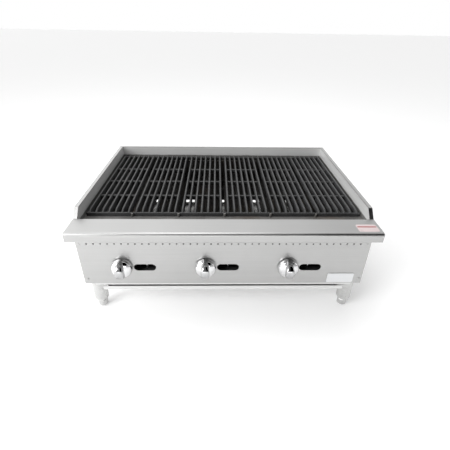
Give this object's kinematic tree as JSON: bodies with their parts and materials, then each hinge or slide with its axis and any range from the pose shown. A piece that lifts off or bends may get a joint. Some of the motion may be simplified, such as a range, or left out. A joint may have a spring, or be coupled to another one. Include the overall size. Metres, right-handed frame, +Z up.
{
  "type": "charbroiler grill",
  "caption": "Countertop gas charbroiler with a stainless body, cast-iron cooking grates over radiants and burners, control knobs, a slide-out drip tray and levelling legs.",
  "frame": {"origin": "floor level under the middle of the object's bounding box", "axes": "+X to the user's right, -Y towards the user at the control panel, +Z up"},
  "size_m": [0.9144, 0.701, 0.386],
  "materials": {
    "stainless_outer": "brushed, light grain along the width",
    "firebox_steel": "mill finish, heat darkened",
    "rail_steel": "dark, heat stained",
    "tray_steel": "galvanised satin",
    "radiant_steel": "matt, heat blackened",
    "burner_iron": "as cast",
    "grate_iron": "as cast, seasoned black",
    "knob_chrome": "polished chrome plate",
    "stem_steel": "bright plated",
    "valve_brass": "machined",
    "gas_pipe": "black iron pipe",
    "pilot_aluminium": "drawn tube",
    "leg_steel": "satin plated",
    "foot_steel": "satin plated"
  },
  "bodies": {
    "body": {"air_shutters": "stem_steel", "badge_plate": "stainless_outer", "base_frame": "firebox_steel", "burner_1": "burner_iron", "burner_2": "burner_iron", "burner_3": "burner_iron", "burner_rests": "firebox_steel", "control_panel": "stainless_outer", "firebox_front": "firebox_steel", "firebox_left": "firebox_steel", "firebox_rear": "firebox_steel", "firebox_right": "firebox_steel", "front_grate_rail": "rail_steel", "front_ledge": "stainless_outer", "gas_manifold": "gas_pipe", "gas_valve_1": "valve_brass", "gas_valve_2": "valve_brass", "gas_valve_3": "valve_brass", "knob_bezels": "stem_steel", "left_side_panel": "stainless_outer", "leg_front_left": "leg_steel", "leg_front_right": "leg_steel", "leg_rear_left": "leg_steel", "leg_rear_right": "leg_steel", "panel_screws": "stem_steel", "pilot_burners": "valve_brass", "pilot_tubes": "pilot_aluminium", "pipe_fittings": "gas_pipe", "radiant_1": "radiant_steel", "radiant_2": "radiant_steel", "radiant_3": "radiant_steel", "radiant_4": "radiant_steel", "radiant_5": "radiant_steel", "radiant_6": "radiant_steel", "radiant_rails": "firebox_steel", "rear_grate_rail": "firebox_steel", "rear_panel": "stainless_outer", "right_side_panel": "stainless_outer", "splash_liner_left": "stainless_outer", "splash_liner_rear": "stainless_outer", "splash_liner_right": "stainless_outer", "supply_pipe": "gas_pipe", "tray_runners": "firebox_steel"},
    "knob_1_body": {"knob_1": "knob_chrome", "valve_stem_1": "stem_steel"},
    "knob_2_body": {"knob_2": "knob_chrome", "valve_stem_2": "stem_steel"},
    "knob_3_body": {"knob_3": "knob_chrome", "valve_stem_3": "stem_steel"},
    "grate_1_body": {"cooking_grate_1": "grate_iron"},
    "grate_2_body": {"cooking_grate_2": "grate_iron"},
    "grate_3_body": {"cooking_grate_3": "grate_iron"},
    "grate_4_body": {"cooking_grate_4": "grate_iron"},
    "grate_5_body": {"cooking_grate_5": "grate_iron"},
    "grate_6_body": {"cooking_grate_6": "grate_iron"},
    "tray_body": {"drip_tray": "tray_steel"},
    "foot_front_left_body": {"foot_front_left": "foot_steel"},
    "foot_front_right_body": {"foot_front_right": "foot_steel"},
    "foot_rear_left_body": {"foot_rear_left": "foot_steel"},
    "foot_rear_right_body": {"foot_rear_right": "foot_steel"}
  },
  "joints": [
    {"name": "knob_1_turn", "type": "hinge", "parent": "body", "child": "knob_1_body", "pos_m": [-0.3275, -0.295, 0.197], "axis": [0, -1, 0], "range_deg": [0, 120]},
    {"name": "knob_2_turn", "type": "hinge", "parent": "body", "child": "knob_2_body", "pos_m": [-0.061, -0.295, 0.197], "axis": [0, -1, 0], "range_deg": [0, 120]},
    {"name": "knob_3_turn", "type": "hinge", "parent": "body", "child": "knob_3_body", "pos_m": [0.2055, -0.295, 0.197], "axis": [0, -1, 0], "range_deg": [0, 120]},
    {"name": "drip_tray_slide", "type": "slide", "parent": "body", "child": "tray_body", "axis": [0, -1, 0], "range_m": [0, 0.45]},
    {"name": "grate_1_lift", "type": "slide", "parent": "body", "child": "grate_1_body", "axis": [0, 0, 1], "range_m": [0, 0.15]},
    {"name": "grate_2_lift", "type": "slide", "parent": "body", "child": "grate_2_body", "axis": [0, 0, 1], "range_m": [0, 0.15]},
    {"name": "grate_3_lift", "type": "slide", "parent": "body", "child": "grate_3_body", "axis": [0, 0, 1], "range_m": [0, 0.15]},
    {"name": "grate_4_lift", "type": "slide", "parent": "body", "child": "grate_4_body", "axis": [0, 0, 1], "range_m": [0, 0.15]},
    {"name": "grate_5_lift", "type": "slide", "parent": "body", "child": "grate_5_body", "axis": [0, 0, 1], "range_m": [0, 0.15]},
    {"name": "grate_6_lift", "type": "slide", "parent": "body", "child": "grate_6_body", "axis": [0, 0, 1], "range_m": [0, 0.15]},
    {"name": "foot_front_left_level", "type": "slide", "parent": "body", "child": "foot_front_left_body", "axis": [0, 0, -1], "range_m": [0, 0.025]},
    {"name": "foot_front_right_level", "type": "slide", "parent": "body", "child": "foot_front_right_body", "axis": [0, 0, -1], "range_m": [0, 0.025]},
    {"name": "foot_rear_left_level", "type": "slide", "parent": "body", "child": "foot_rear_left_body", "axis": [0, 0, -1], "range_m": [0, 0.025]},
    {"name": "foot_rear_right_level", "type": "slide", "parent": "body", "child": "foot_rear_right_body", "axis": [0, 0, -1], "range_m": [0, 0.025]}
  ]
}
